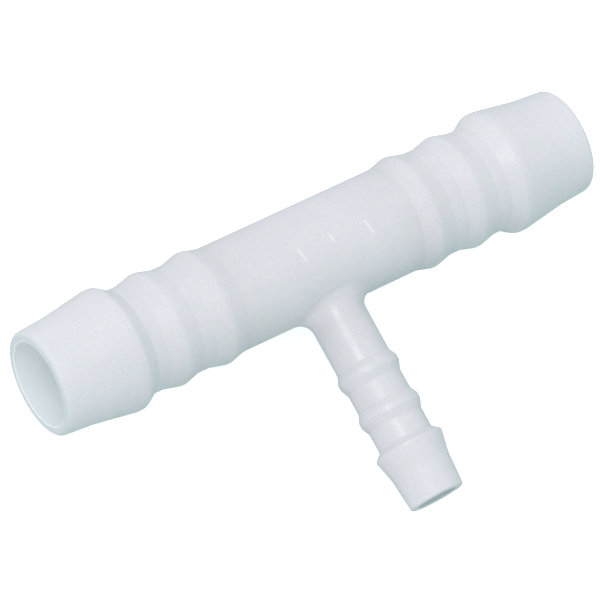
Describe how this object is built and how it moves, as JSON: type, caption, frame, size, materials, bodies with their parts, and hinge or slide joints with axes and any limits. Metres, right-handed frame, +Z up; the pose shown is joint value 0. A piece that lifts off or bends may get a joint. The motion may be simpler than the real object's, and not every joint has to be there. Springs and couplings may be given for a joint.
{
  "type": "barbed reducing tee connector",
  "caption": "One-piece plastic tee with a barbed, ridged hose tail at each end of a straight run and a slimmer barbed branch at right angles.",
  "frame": {"origin": "where the axis of the straight run and the axis of the branch cross, inside the run's bore", "axes": "+X along the run, +Y away from the branch (the branch's open end points towards -Y), +Z up, square to the plane of the tee"},
  "size_m": [0.0634, 0.0337, 0.013],
  "materials": {
    "natural_plastic": "milky white natural plastic, satin, slightly translucent"
  },
  "bodies": {
    "root": {"tee_body": "natural_plastic", "run_tail_left": "natural_plastic", "run_tail_right": "natural_plastic", "branch_tail": "natural_plastic"}
  },
  "joints": []
}
